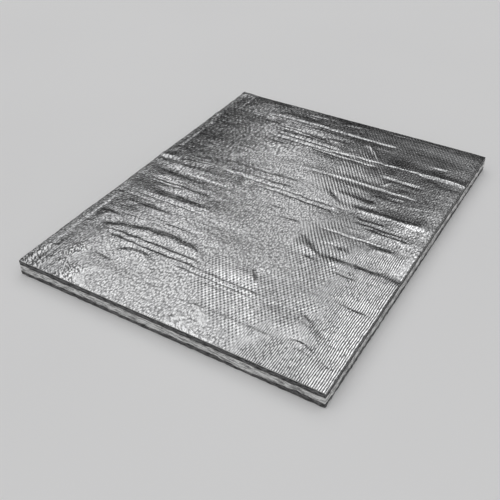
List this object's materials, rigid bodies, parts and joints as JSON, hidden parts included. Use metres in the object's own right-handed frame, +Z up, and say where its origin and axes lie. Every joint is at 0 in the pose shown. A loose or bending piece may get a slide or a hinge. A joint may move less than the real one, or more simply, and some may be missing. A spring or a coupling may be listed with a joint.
{
  "type": "ceramic fiber heat shield mat",
  "caption": "Flat rectangular heat shield mat: creased foil-faced glass cloth bonded over dark and pale fibre layers, cut square so that the layers show at the edges.",
  "frame": {"origin": "centre of the underside, where the mat rests", "axes": "+Z up out of the foil face, +Y along the long side, +X across the mat"},
  "size_m": [0.239, 0.305, 0.0125],
  "materials": {
    "dark_fibre": "matte needled fibre, charcoal, with a few pale specks on the cut edge",
    "pale_fibre": "matte ceramic fibre, pale grey, streaked along the layer",
    "foil_cloth": "satin aluminium foil laminated on woven glass cloth, with shallow creases"
  },
  "bodies": {
    "root": {"lower_mat": "dark_fibre", "fibre_core": "pale_fibre", "upper_mat": "dark_fibre", "foil_facing": "foil_cloth"}
  },
  "joints": []
}
